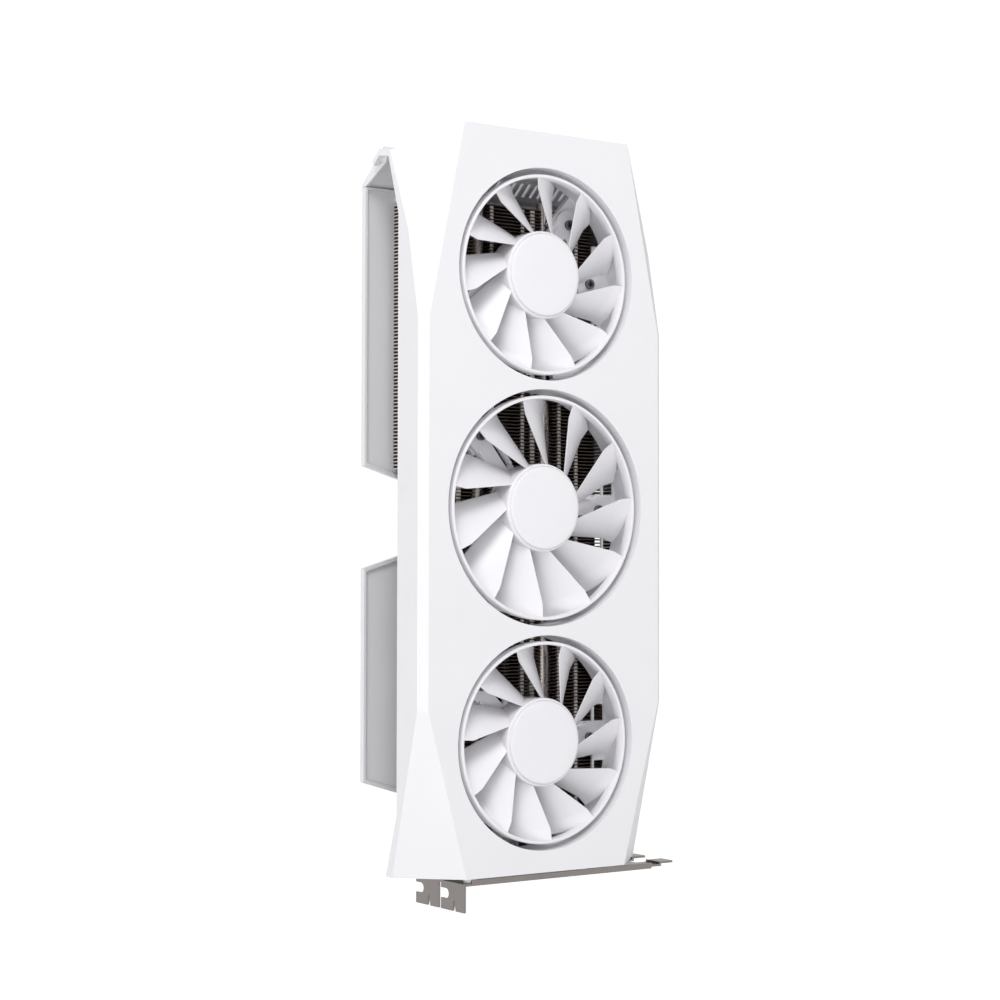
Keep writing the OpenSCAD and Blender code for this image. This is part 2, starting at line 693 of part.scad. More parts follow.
module io_bracket() {
    color("silver") {
        difference() {
            linear_extrude(bracket_t) bracket_face();
            for (s = [-1, 1]) translate([s * 30, at(16), -eps])
                cylinder(r1 = 2.55, r2 = 1.3, h = bracket_t + 2 * eps, $fn = 32);
        }
        for (k = [0:bracket_slots - 1]) {
            translate([tab_x - bracket_t, 0, 0])
                rotate([90, 0, 90]) linear_extrude(bracket_t) tab_outline(k);
            // stepped tongue
            translate([tongue_root_x + 6, tongue_y(k) - 5.1, 0]) cube([1, 10.2, 2 * bracket_t]);
            translate([tongue_root_x + 6, tongue_y(k) - 4.2, bracket_t])
                cube([tongue_tip_x - tongue_root_x - 6, 8.4, bracket_t]);
        }
        // stiffening lips
        translate([tab_x + 3, bracket_y0, 0]) cube([tongue_root_x - tab_x - 5, 0.8, 2.6]);
    }
}

module bracket_screws() {
    color("silver") for (s = [-1, 1]) translate([s * 30, at(16), eps]) difference() {
        union() {
            cylinder(r1 = 2.35, r2 = 1.1, h = bracket_t, $fn = 32);
            cylinder(r = 1.1, h = 7, $fn = 24);
        }
        for (a = [0, 90]) rotate([0, 0, a]) translate([-1.3, -0.2, -0.5]) cube([2.6, 0.4, 1]);
    }
}

module socket_shell(x, w) {
    difference() {
        block([x - w / 2, x + w / 2], [board_front_d - 5.8, board_front_d], [eps, 19]);
        block([x - w / 2 + 0.4, x + w / 2 - 0.4], [board_front_d - 5.4, board_front_d - 0.4], [-1, 14]);
    }
}

module hdmi_socket() {
    color("gainsboro") socket_shell(socket_xs[0], 16.2);
}

module displayport_sockets() {
    color("gainsboro") for (k = [1:3]) socket_shell(socket_xs[k], 17.6);
}

module socket_tongues() {
    color("#101010") for (k = [0:3])
        block([socket_xs[k] - 5.6, socket_xs[k] + 5.6],
              [board_front_d - 3.6, board_front_d - 2.1], [4, 14]);
}

// ---------- backplate ----------

module backplate_outline(inset) {
    wing = back_half_w - inset;
    lo = back_lo_z + inset;
    hi = back_hi_z - inset;
    polygon([
        [-41.3 + inset, lo], [60 - inset, lo], [60 - inset, 190 + inset], [wing, 193 + inset], [wing, hi],
        [-wing, hi], [-wing, notch_z[1] + notch_slant + inset], [notch_x + inset, notch_z[1] + inset],
        [notch_x + inset, notch_z[0] - inset], [-wing, notch_z[0] - notch_slant - inset],
        [-wing, wing_lo_z + notch_slant + inset], [notch_x + inset, wing_lo_z + inset]
    ]);
}

gpu_window = 72;
module backplate_openings() {
    // window over the retention bracket, with cut corners
    translate([gpu[0], gpu[1]]) intersection() {
        square(gpu_window, center = true);
        rotate(45) square(gpu_window * 1.2, center = true);
    }
    // slanted vents near the far end, and longer ones behind the open fins
    for (k = [-7:7]) tilted_slot(5 * k, back_hi_z - 7, 6.2, 1.7, -35);
    for (row = [0, 1], k = [-3:3]) tilted_slot(11.5 * k, 225 + 38 * row, 34, 4.2, -25);
    for (p = standoff_xz) translate(p) circle(r = 1.3, $fn = 24);
    for (p = far_screws) translate(p) circle(r = 1.3, $fn = 24);
}

// Sheet with a raised rim and countersunk holes
module backplate() {
    color("white") difference() {
        union() {
            plate([sheet_d, card_t]) backplate_outline(0);
            difference() {
                plate([card_t - rim_h, card_t]) backplate_outline(0);
                plate([card_t - rim_h - 1, card_t + 1]) backplate_outline(1.2);
            }
        }
        plate([sheet_d - 1, card_t + 1]) backplate_openings();
        for (p = concat(standoff_xz, far_screws))
            translate([p[0], at(card_t - 1.1), p[1]]) rotate([-90, 0, 0])
                cylinder(r1 = 1.3, r2 = 2.7, h = 1.15, $fn = 32);
    }
}

// Cap that closes the far end between the shroud and the backplate
module end_cap() {
    color("white") difference() {
        union() {
            side_plate([-back_half_w, back_half_w]) polygon([
                cap_top, cap_foot, cap_foot - [0, 1.2], cap_point(cap_t, 20), cap_point(cap_t, 0)]);
            // cheeks that hang from both ends of the slope, behind the shroud's lip
            for (s = [-1, 1]) side_plate(s < 0 ? [-back_half_w, -back_half_w + 1.2]
                                               : [back_half_w - 1.2, back_half_w])
                polygon([cap_point(1, 8.6), cap_foot - [0, 0.6], cap_foot - [0, 1.2],
                         [card_t - 3.6, shroud_hi - 22.3], [35, shroud_hi - 14.2], [42.2, shroud_hi - 14.2]]);
        }
        // row of narrow vents across the slope
        for (k = [-11:11]) side_plate([4.2 * k - 0.8, 4.2 * k + 0.8]) polygon([
            cap_point(-1, 9.5), cap_point(-1, 17.5),
            cap_point(cap_t + 1, 17.5), cap_point(cap_t + 1, 9.5)]);
    }
}

module countersunk_screw(p, length) {
    translate([p[0], at(card_t) - 0.05, p[1]]) rotate([90, 0, 0]) difference() {
        union() {
            cylinder(r1 = 2.45, r2 = 1.15, h = 1.1, $fn = 32);
            cylinder(r = 1.05, h = length, $fn = 24);
        }
        for (a = [0, 90]) rotate([0, 0, a]) translate([-1.3, -0.2, -0.5]) cube([2.6, 0.4, 1]);
    }
}

module backplate_screws() {
    color("silver") {
        for (p = standoff_xz) countersunk_screw(p, 6);
        for (p = far_screws) countersunk_screw(p, 7);
    }
}

module board_standoffs() {
    color("khaki") for (p = standoff_xz) difference() {
        rod(p[0], p[1], [board_back_d, sheet_d], 2.6);
        rod(p[0], p[1], [board_back_d - 1, sheet_d + 1], 1.1, 24);
    }
}

// Cross-shaped spring plate behind the processor
module retention_bracket() {
    color("dimgray") difference() {
        plate([board_back_d + 1.6, board_back_d + 3]) difference() {
            union() {
                for (a = [-45, 45])
                    translate(gpu) rotate(a) square([gpu_holes * sqrt(2) - 4, 11], center = true);
                translate(gpu) square(30, center = true);
                for (s = [-1, 1], t = [-1, 1])
                    translate(gpu + [s, t] * gpu_holes / 2) circle(r = 5, $fn = 32);
            }
            translate(gpu) square(14, center = true);
            for (s = [-1, 1], t = [-1, 1])
                translate(gpu + [s, t] * gpu_holes / 2) circle(r = 1.4, $fn = 32);
        }
    }
}

module retention_screws() {
    color("silver") for (s = [-1, 1], t = [-1, 1])
        translate([gpu[0] + s * gpu_holes / 2, at(board_back_d + 3) + eps, gpu[1] + t * gpu_holes / 2])
            rotate([90, 0, 0]) pan_screw(1.2, 9, 2.8, 1.6);
}

// ---------- assembly ----------

shroud();
end_cap();
backplate();
backplate_screws();
retention_bracket();
retention_screws();
board_standoffs();
circuit_board();
edge_contacts();
gpu_package();
gpu_die();
memory_chips();
thermal_pads();
power_stages();
inductors();
capacitors();
power_sockets();
power_pins();
fan_header();
cold_plate();
base_plate();
fin_stack_lower();
fin_stack_middle();
fin_stack_upper();
heat_pipes_u();
heat_pipes_straight();
io_bracket();
bracket_screws();
hdmi_socket();
displayport_sockets();
socket_tongues();
fan_frame_screws();
for (i = [0:2]) {
    fan_frame(i);
    fan_bearing(i);
    fan_stator(i);
    fan_rotor(i);
    fan_magnet(i);
    fan_shaft(i);
}
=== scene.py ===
import bpy, bmesh, json, math
from mathutils import Vector, Matrix


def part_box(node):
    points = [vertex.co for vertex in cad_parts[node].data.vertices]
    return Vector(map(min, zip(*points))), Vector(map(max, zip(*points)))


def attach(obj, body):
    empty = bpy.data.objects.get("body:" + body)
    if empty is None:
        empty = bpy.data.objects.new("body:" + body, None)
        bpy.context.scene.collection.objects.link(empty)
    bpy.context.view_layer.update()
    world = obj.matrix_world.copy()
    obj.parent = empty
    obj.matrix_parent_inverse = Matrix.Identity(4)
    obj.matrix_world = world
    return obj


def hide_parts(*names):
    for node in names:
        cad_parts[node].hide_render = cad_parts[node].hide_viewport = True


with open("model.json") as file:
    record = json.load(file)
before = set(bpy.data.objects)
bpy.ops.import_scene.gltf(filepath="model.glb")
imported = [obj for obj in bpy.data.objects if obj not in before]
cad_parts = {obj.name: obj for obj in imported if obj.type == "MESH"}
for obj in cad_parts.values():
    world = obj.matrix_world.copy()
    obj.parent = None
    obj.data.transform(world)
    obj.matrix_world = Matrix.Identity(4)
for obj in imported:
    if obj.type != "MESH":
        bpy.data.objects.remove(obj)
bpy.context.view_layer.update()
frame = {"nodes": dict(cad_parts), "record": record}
nodes = frame["nodes"]
scene = bpy.context.scene
MM = 0.001


# ---------------------------------------------------------------- materials

class Mat:
    """A node-based material with helpers for colour, roughness and bump detail."""

    def __init__(self, name, base, rough=0.5, metal=0.0, spec=0.5):
        self.m = bpy.data.materials.new(name)
        self.m.use_nodes = True
        self.nt = self.m.node_tree
        self.b = self.nt.nodes["Principled BSDF"]
        self.base = base
        self.b.inputs["Base Color"].default_value = (*base, 1)
        self.b.inputs["Roughness"].default_value = rough
        self.b.inputs["Metallic"].default_value = metal
        self.b.inputs["Specular IOR Level"].default_value = spec
        self.m.diffuse_color = (*base, 1)
        tc = self.nt.nodes.new("ShaderNodeTexCoord")
        self.co = tc.outputs["Object"]
        self.normal = None

    def stretch(self, sx, sy, sz):
        """Object coordinates scaled per axis, for grain that runs one way."""
        mp = self.nt.nodes.new("ShaderNodeMapping")
        mp.inputs["Scale"].default_value = (sx, sy, sz)
        self.nt.links.new(self.co, mp.inputs["Vector"])
        return mp.outputs["Vector"]

    def noise(self, scale, detail=3, rough=0.55, vec=None, distortion=0.0):
        n = self.nt.nodes.new("ShaderNodeTexNoise")
        n.inputs["Scale"].default_value = scale
        n.inputs["Detail"].default_value = detail
        n.inputs["Roughness"].default_value = rough
        n.inputs["Distortion"].default_value = distortion
        self.nt.links.new(vec or self.co, n.inputs["Vector"])
        return n.outputs["Fac"]

    def voronoi(self, scale):
        n = self.nt.nodes.new("ShaderNodeTexVoronoi")
        n.inputs["Scale"].default_value = scale
        self.nt.links.new(self.co, n.inputs["Vector"])
        return n.outputs["Distance"]

    def ramp(self, fac, stops):
        """Colour ramp from (position, colour) stops."""
        r = self.nt.nodes.new("ShaderNodeValToRGB")
        els = r.color_ramp.elements
        while len(els) < len(stops):
            els.new(0.5)
        for e, (p, c) in zip(els, stops):
            e.position = p
            e.color = (*c, 1)
        self.nt.links.new(fac, r.inputs["Fac"])
        return r.outputs["Color"]

    def vary(self, fac, amount, tint=(1, 1, 1)):
        """Base colour swings by amount around the base as fac goes from low to high."""
        lo = tuple(max(0, c * (1 - amount) * t) for c, t in zip(self.base, tint))
        hi = tuple(min(1, c * (1 + amount)) for c in self.base)
        self.nt.links.new(self.ramp(fac, [(0.3, lo), (0.7, hi)]), self.b.inputs["Base Color"])
        return self

    def colour(self, out):
        self.nt.links.new(out, self.b.inputs["Base Color"])
        return self

    def gloss(self, fac, lo, hi):
        """Roughness swings from lo to hi."""
        mr = self.nt.nodes.new("ShaderNodeMapRange")
        mr.inputs["From Min"].default_value = 0.3
        mr.inputs["From Max"].default_value = 0.7
        mr.inputs["To Min"].default_value = lo
        mr.inputs["To Max"].default_value = hi
        self.nt.links.new(fac, mr.inputs["Value"])
        self.nt.links.new(mr.outputs["Result"], self.b.inputs["Roughness"])
        return self

    def bump(self, fac, strength, dist):
        """Adds relief of a depth in metres on top of any relief already there."""
        bp = self.nt.nodes.new("ShaderNodeBump")
        bp.inputs["Strength"].default_value = strength
        bp.inputs["Distance"].default_value = dist
        self.nt.links.new(fac, bp.inputs["Height"])
        if self.normal is not None:
            self.nt.links.new(self.normal, bp.inputs["Normal"])
        self.normal = bp.outputs["Normal"]
        self.nt.links.new(self.normal, self.b.inputs["Normal"])
        return self

    def wear(self, colour):
        """Edges rubbed half way to another colour, by the pointiness of the mesh."""
        worn_from, worn_over = 0.56, 0.06
        g = self.nt.nodes.new("ShaderNodeNewGeometry")
        stops = [(worn_from, (0, 0, 0)), (worn_from + worn_over, (0.5, 0.5, 0.5))]
        r = self.ramp(g.outputs["Pointiness"], stops)
        mix = self.nt.nodes.new("ShaderNodeMix")
        mix.data_type = "RGBA"
        src = self.b.inputs["Base Color"]
        if src.links:
            self.nt.links.new(src.links[0].from_socket, mix.inputs["A"])
        else:
            mix.inputs["A"].default_value = (*self.base, 1)
        mix.inputs["B"].default_value = (*colour, 1)
        self.nt.links.new(r, mix.inputs["Factor"])
        self.nt.links.new(mix.outputs["Result"], src)
        return self


def white_moulding(name, base, rough, grain, strength):
    """White plastic with a fine spark-eroded texture and a faint mottling."""
    m = Mat(name, base, rough)
    m.vary(m.noise(38, 4), 0.008, (1.0, 1.0, 1.002))
    m.gloss(m.noise(420, 3), rough - 0.05, rough + 0.06)
    m.bump(m.noise(grain, 2, 0.5), strength, 0.00003)
    m.bump(m.voronoi(grain * 0.6), strength * 0.6, 0.00002)
    return m


def brushed(name, base, rough, stretch, swing=0.06, strength=0.25):
    """Metal with long fine scratches along the axis whose stretch is small."""
    m = Mat(name, base, rough, 1.0)
    v = m.stretch(*stretch)
    streak = m.noise(1.0, 5, 0.65, v)
    m.vary(streak, swing)
    m.gloss(m.noise(1.7, 4, 0.6, v), rough - 0.07, rough + 0.1)
    m.bump(streak, strength, 0.00002)
    return m


# material slot -> material; colours are linear, scales are per metre
M = {}
M["white_plastic"] = white_moulding("white_shell_plastic", (0.82, 0.82, 0.845), 0.42, 2600, 0.12)
M["fan_plastic"] = white_moulding("white_fan_plastic", (0.83, 0.82, 0.85), 0.34, 1900, 0.06)
M["white_paint"] = white_moulding("white_powder_coat", (0.80, 0.80, 0.825), 0.46, 900, 0.25)

m = Mat("black_steel", (0.035, 0.035, 0.038), 0.5, 0.2)
m.vary(m.noise(300, 4), 0.25).gloss(m.noise(900, 3), 0.42, 0.6).bump(m.noise(2400, 2), 0.25, 0.00003)
M["black_steel"] = m.wear((0.25, 0.25, 0.26))

M["screw_steel"] = brushed("screw_steel", (0.60, 0.60, 0.62), 0.28, (3000, 3000, 3000), strength=0.15)
m = Mat("screw_black", (0.05, 0.05, 0.055), 0.38, 0.7)
m.vary(m.noise(2500, 3), 0.3).gloss(m.noise(3000, 3), 0.3, 0.5)
M["screw_black"] = m.wear((0.4, 0.4, 0.4))

m = Mat("brass", (0.72, 0.56, 0.26), 0.3, 1.0)
M["brass"] = m.vary(m.noise(900, 3), 0.08).gloss(m.noise(1500, 3), 0.22, 0.4)

# circuit board: dark solder mask over faint copper traces
m = Mat("board_mask", (0.014, 0.016, 0.019), 0.36)
trace = m.noise(1.0, 1, 0.4, m.stretch(900, 10, 90), 1.5)
MASK, MASK_ON_COPPER = (0.012, 0.014, 0.017), (0.022, 0.026, 0.030)
m.colour(m.ramp(trace, [(0.40, MASK), (0.47, MASK_ON_COPPER), (0.56, MASK_ON_COPPER), (0.62, MASK)]))
m.gloss(m.noise(500, 3), 0.3, 0.42)
M["board"] = m.bump(trace, 0.3, 0.00004)

m = Mat("gold", (0.86, 0.62, 0.22), 0.24, 1.0)
M["gold"] = m.vary(m.noise(1200, 3), 0.07).gloss(m.noise(2000, 3), 0.18, 0.36)
m = Mat("laminate", (0.02, 0.10, 0.05), 0.4)
M["laminate"] = m.vary(m.noise(1500, 4), 0.2).bump(m.noise(2000, 2), 0.2, 0.00002)
m = Mat("silicon", (0.30, 0.32, 0.37), 0.08, 0.9)
M["silicon"] = m.vary(m.noise(60, 2), 0.05).gloss(m.noise(200, 2), 0.05, 0.12)
m = Mat("chip", (0.022, 0.022, 0.024), 0.55)
M["chip"] = m.vary(m.noise(1800, 4), 0.25).bump(m.noise(4000, 3), 0.3, 0.00003)
m = Mat("pad", (0.42, 0.53, 0.66), 0.75)
M["pad"] = m.vary(m.noise(800, 4), 0.12).bump(m.noise(1500, 4), 0.5, 0.00006)
m = Mat("ferrite", (0.07, 0.07, 0.073), 0.62)
M["ferrite"] = m.vary(m.noise(2500, 4), 0.3).bump(m.noise(3500, 3), 0.5, 0.00005)
M["can"] = brushed("capacitor_can", (0.74, 0.74, 0.76), 0.3, (2500, 300, 2500))
m = Mat("black_plastic", (0.016, 0.016, 0.018), 0.42)
m.vary(m.noise(900, 3), 0.2).gloss(m.noise(1400, 3), 0.35, 0.52)
M["black_plastic"] = m.bump(m.noise(3200, 2), 0.25, 0.00003)
m = Mat("pin", (0.72, 0.66, 0.50), 0.28, 1.0)
M["pin"] = m.vary(m.noise(2000, 3), 0.08).gloss(m.noise(2500, 3), 0.2, 0.4)
m = Mat("ivory", (0.74, 0.70, 0.58), 0.5)
M["ivory"] = m.vary(m.noise(900, 3), 0.04).bump(m.noise(2600, 2), 0.2, 0.00002)
M["copper"] = brushed("copper", (0.78, 0.36, 0.22), 0.3, (400, 2500, 2500))
M["aluminium"] = brushed("aluminium", (0.66, 0.66, 0.67), 0.36, (300, 2500, 2500))

# fins: stamped sheet, slightly warm; its colour is darkened as painted shade between the fins, and a much
# lighter copy of the same metal below paints the highlight on their edges
m = Mat("fin_sheet_painted_shade", (0.155, 0.118, 0.098), 0.42, 0.6)
m.vary(m.noise(120, 4), 0.14, (1.0, 0.97, 0.95)).gloss(m.noise(700, 3), 0.32, 0.5)
M["fin"] = m.bump(m.noise(2200, 3), 0.2, 0.00003)
# fin edges: the fin metal made much lighter, a painted highlight on the tabs and the bare fin ends
m = Mat("fin_edge", (0.74, 0.69, 0.64), 0.3, 0.45)
M["fin_edge"] = m.vary(m.noise(900, 3), 0.1).gloss(m.noise(1600, 3), 0.22, 0.42)

# folded fin ends on the slot side, which lie in shade
m = Mat("fin_shadow", (0.05, 0.045, 0.042), 0.6, 0.4)
M["fin_shadow"] = m.vary(m.noise(400, 4), 0.2).gloss(m.noise(700, 3), 0.5, 0.7)

# heat pipes: nickel plate with long streaks
m = Mat("pipe_plate", (0.50, 0.46, 0.44), 0.24, 1.0)
m.vary(m.noise(1.0, 4, 0.6, m.stretch(500, 500, 60)), 0.16, (1.0, 0.95, 0.92))
M["pipe"] = m.gloss(m.noise(300, 4), 0.18, 0.36)
M["bracket"] = brushed("bracket_steel", (0.285, 0.262, 0.25), 0.36, (60, 2600, 2600), swing=0.05)
M["shell"] = brushed("socket_shell", (0.70, 0.70, 0.71), 0.28, (2200, 2200, 150))
m = Mat("bronze", (0.50, 0.34, 0.19), 0.5, 1.0)
M["bronze"] = m.vary(m.noise(2500, 4), 0.2).bump(m.noise(4000, 3), 0.4, 0.00003)
# windings: fine turns of enamelled wire
m = Mat("winding", (0.50, 0.20, 0.08), 0.32, 0.9)
w = m.nt.nodes.new("ShaderNodeTexWave")
w.inputs["Scale"].default_value = 900
w.inputs["Distortion"].default_value = 1.5
m.nt.links.new(m.co, w.inputs["Vector"])
M["winding"] = m.vary(w.outputs["Fac"], 0.3).bump(w.outputs["Fac"], 0.6, 0.0001)
m = Mat("magnet", (0.05, 0.05, 0.055), 0.6)
M["magnet"] = m.vary(m.noise(1500, 4), 0.25).bump(m.noise(2500, 3), 0.3, 0.00004)
m = Mat("shaft", (0.72, 0.72, 0.74), 0.16, 1.0)
M["shaft"] = m.vary(m.noise(2500, 2), 0.05).gloss(m.noise(2500, 2), 0.1, 0.24)

for sub in frame["record"]["subparts"]:
    o = nodes[sub["node"]]
    o.data.materials.clear()
    o.data.materials.append(M[sub["material_slot"]].m)


# ---------------------------------------------------------------- helpers

def piece(name, bm, slot, body, sharp_from):
    """A bmesh in row coordinates (metres) as a piece on a body; edges over sharp_from degrees stay crisp."""
    bmesh.ops.recalc_face_normals(bm, faces=bm.faces)
    me = bpy.data.meshes.new(name)
    bm.to_mesh(me)
    bm.free()
    o = bpy.data.objects.new(name, me)
    scene.collection.objects.link(o)
    me.materials.append(M[slot].m)
    for p in me.polygons:
        p.use_smooth = True
    me.set_sharp_from_angle(angle=math.radians(sharp_from))
    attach(o, body)
    return o


def lathe(bm, profile, at, n):
    """Solid of revolution about +Y through at; profile is a closed loop of (radius, depth) in mm."""
    turns = [2 * math.pi * k / n for k in range(n)]
    rings = []
    for r, d in profile:
        if r == 0:
            rings.append([bm.verts.new(at(0, 0, d))])
        else:
            rings.append([bm.verts.new(at(r * math.cos(a), r * math.sin(a), d)) for a in turns])
    for a, b in zip(rings, rings[1:] + rings[:1]):
        for k in range(n):
            k2 = (k + 1) % n
            if len(a) == 1 and len(b) == 1:
                continue
            if len(a) == 1:
                bm.faces.new((a[0], b[k], b[k2]))
            elif len(b) == 1:
                bm.faces.new((a[k], b[0], a[k2]))
            else:
                bm.faces.new((a[k], b[k], b[k2], a[k2]))


# ---------------------------------------------------------------- fan rotors

# all sizes in mm, as in the CAD; "depth" is measured from the shroud's front face
FRONT_Y = -48.0
# name -> height of the axle, outer radius of the ring, turn of the first blade in degrees
FANS = {"lower": (61.4, 44.3, 26.1), "middle": (164.4, 49.5, 19.65), "upper": (267.4, 44.3, 10.7)}
HUB_R = 19.5
RING_T = 1.5
BLADES = 11
KINK = 0.8                          # where the leading edge bends, as a share of the blade's length
LEAD_SWEEP = math.radians(19.3)     # turn of the leading edge from the hub to the bend
SPAN_AT_HUB, SPAN_LOSS = 24.2, 0.4  # width of a blade in degrees, and what it loses towards the ring
BLADE_ROOT_IN_HUB = 0.8
BLADE_HALF_T = 0.55
CAMBER = 1.1
HUB_SEGMENTS, RING_SEGMENTS = 128, 192

# closed loop of (radius, depth): face with a groove near its rim, skirt, and the socket for the shaft
HUB_PROFILE = (
    (0, 1.6), (9, 1.62), (14, 1.68), (17.2, 1.78), (17.8, 1.86), (18.05, 2.05), (18.12, 2.75), (18.25, 3.1),
    (18.4, 3.14), (18.52, 2.95), (18.7, 2.85), (19.0, 2.9), (19.3, 3.15), (19.45, 3.6), (HUB_R, 4.4),
    (HUB_R, 15.1), (19.3, 15.4), (18.1, 15.4), (17.9, 15.1), (17.9, 4.6), (3.4, 4.6), (3.2, 4.9),
    (3.2, 6.2), (1.26, 6.2), (1.26, 2.6), (0, 2.6))


def ring_profile(r):
    """Closed loop of (radius, depth) of the ring that joins the blade tips, with outer radius r."""
    return ((r - RING_T, 1.55), (r - RING_T + 0.2, 1.26), (r - RING_T + 0.5, 1.2), (r - 0.6, 1.2),
            (r - 0.25, 1.32), (r, 1.7), (r, 6.3), (r - 0.3, 6.6), (r - RING_T * 0.7, 6.6), (r - RING_T, 5.9))


def lead_angle(r, rk):
    """Angle of the straight leading edge at radius r; past the kink it runs straight out."""
    chord = math.sqrt(HUB_R ** 2 + rk ** 2 - 2 * HUB_R * rk * math.cos(LEAD_SWEEP))
    offset = HUB_R * rk * math.sin(LEAD_SWEEP) / chord
    return math.acos(offset / min(r, rk)) - math.acos(offset / HUB_R)


def blade_depth(u, v):
    """Depth of a blade's middle surface, u from hub to ring and v from leading to trailing edge."""
    camber = CAMBER * math.sin(math.pi * v)
    return 4 - 2.4 * u + (8.8 + 4 * u) * v - camber * (0.5 + u / 2)


def blade(bm, at, ri, ro, rk, turn, nu=30, nv=16):
    """One swept blade with a crisp leading edge and a thin trailing edge."""
    grid = []
    for side in (-1, 1):
        g = []
        for i in range(nu + 1):
            u = i / nu
            row = []
            for j in range(nv + 1):
                v = (1 - math.cos(math.pi * j / nv)) / 2
                r = ri + (ro - ri) * u
                a = lead_angle(r, rk) - math.radians((SPAN_AT_HUB - SPAN_LOSS * u) * v - turn)
                thick = BLADE_HALF_T * (0.5 + 0.5 * math.sin(math.pi * min(1, 0.12 + v * 0.88)) ** 0.6)
                d = blade_depth(u, v) + side * thick
                row.append(bm.verts.new(at(r * math.cos(a), r * math.sin(a), d)))
            g.append(row)
        grid.append(g)
    f, b = grid
    for i in range(nu):
        for j in range(nv):
            bm.faces.new((f[i][j], f[i + 1][j], f[i + 1][j + 1], f[i][j + 1]))
            bm.faces.new((b[i][j], b[i][j + 1], b[i + 1][j + 1], b[i + 1][j]))
    for i in range(nu):
        bm.faces.new((f[i][0], b[i][0], b[i + 1][0], f[i + 1][0]))
        bm.faces.new((f[i][nv], f[i + 1][nv], b[i + 1][nv], b[i][nv]))
    for j in range(nv):
        bm.faces.new((f[0][j], f[0][j + 1], b[0][j + 1], b[0][j]))
        bm.faces.new((f[nu][j], b[nu][j], b[nu][j + 1], f[nu][j + 1]))


for f, (axle_z, ring_r, phase) in FANS.items():

    def at(x, z, d, axle_z=axle_z):
        return Vector((x, FRONT_Y + d, axle_z + z)) * MM

    bm = bmesh.new()
    lathe(bm, HUB_PROFILE, at, HUB_SEGMENTS)
    lathe(bm, ring_profile(ring_r), at, RING_SEGMENTS)
    kink_r = HUB_R + KINK * (ring_r - RING_T - HUB_R)
    for k in range(BLADES):
        blade(bm, at, HUB_R - BLADE_ROOT_IN_HUB, ring_r - RING_T / 2, kink_r, phase + k * 360 / BLADES)
    rotor = piece(f"rotor_{f}", bm, "fan_plastic", "fan_" + f, 40)
    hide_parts("fan_rotor_" + f)


# ---------------------------------------------------------------- details of the fins and the end cap

def box_at(bm, xs, ds, zs):
    """A block by X, depth and Z ranges in mm."""
    v = [bm.verts.new(Vector((x, FRONT_Y + d, z)) * MM) for x in xs for d in ds for z in zs]
    for q in ((0, 1, 3, 2), (4, 6, 7, 5), (0, 4, 5, 1), (2, 3, 7, 6), (0, 2, 6, 4), (1, 5, 7, 3)):
        bm.faces.new([v[k] for k in q])


FIN_PITCH, FIN_T, FIN_D = 1.55, 0.4, 22.8
FIN_START_X = -48.5
FIN_END_X, FIN_LIP_X, FIN_LIP_D, FIN_BACK_D = 57, 62.3, 20, 41.5
LIP_T = 0.3
TIP_D = (43, 50.4)                  # depths of the fins that show past the shroud on the cable side
TAB_COLUMNS = (-32, -14.5, 2.4, 7.8, 22.8, 32.4)
TAB_HALF_W = (1.15, 0.85, 0.85)     # in turn, column after column
# from the first fin to the end of the last one, in Z
TAB_RUNS = {"lower": (23.75, 139.9), "middle": (140, 200.9), "upper": (200.45, 300.6)}
FLANGE_RUNS = {"lower": (23.75, 139), "middle": (140, 200.3), "upper": (200.45, 300.6)}
TIP_RUN = (181.85, 300.3)


def fin_tabs(name, z0, z1):
    """The folded tabs that lock each fin to the next: a hook in every column, on every fin, coloured bright
    as painted highlight.
    """
    bm = bmesh.new()
    for k in range(int((z1 - z0 - FIN_T) / FIN_PITCH)):
        z = z0 + k * FIN_PITCH
        for c, x in enumerate(TAB_COLUMNS):
            w = TAB_HALF_W[c % 3]
            box_at(bm, (x - w, x + w), (FIN_D - 0.12, FIN_D + 0.5), (z + FIN_T * 0.4, z + FIN_PITCH * 0.78))
            box_at(bm, (x - w * 0.6, x + w * 0.6), (FIN_D + 0.5, FIN_D + 2.2), (z + FIN_T, z + FIN_T + 0.35))
    return piece(name, bm, "fin_edge", "card", 30)


for part, run in TAB_RUNS.items():
    fin_tabs(f"fin_tabs_{part}", *run)


def fin_flanges(name, z0, z1):
    """The folded lips that close the slot-side ends of the fins, one short lip per fin."""
    bm = bmesh.new()
    for k in range(math.ceil((z1 - z0) / FIN_PITCH)):
        z = z0 + k * FIN_PITCH
        low = z + FIN_T * 0.05
        box_at(bm, (FIN_END_X - 0.4, FIN_LIP_X), (FIN_D + 0.1, FIN_BACK_D), (low, z + FIN_T * 0.95))
        box_at(bm, (FIN_LIP_X, FIN_LIP_X + LIP_T), (FIN_LIP_D, FIN_BACK_D), (low, z + FIN_PITCH * 0.97))
    return piece(name, bm, "fin_shadow", "card", 30)


for part, run in FLANGE_RUNS.items():
    fin_flanges(f"fin_flanges_{part}", *run)


def fin_tips(name, z0, z1):
    """Bare ends of the fins along the cable side, where they stand clear of the shroud, coloured bright as
    painted highlight.
    """
    bm = bmesh.new()
    for k in range(math.ceil((z1 - z0) / FIN_PITCH)):
        z = z0 + k * FIN_PITCH
        box_at(bm, (FIN_START_X - 0.12, FIN_START_X + 1.6), TIP_D, (z - 0.03, z + FIN_T + 0.03))
    return piece(name, bm, "fin_edge", "card", 30)


fin_tips("fin_tips_upper", *TIP_RUN)


# outline of a corner plate as (depth, distance below the cap's ridge), and the X range of the plate
CORNER_OUTLINE = ((42.9, 6.2), (35.8, 1.8), (34.0, 4.6), (34.6, 6.3), (35.0, 7.1), (42.2, 7.1))
CORNER_X = (61.35, 62.45)


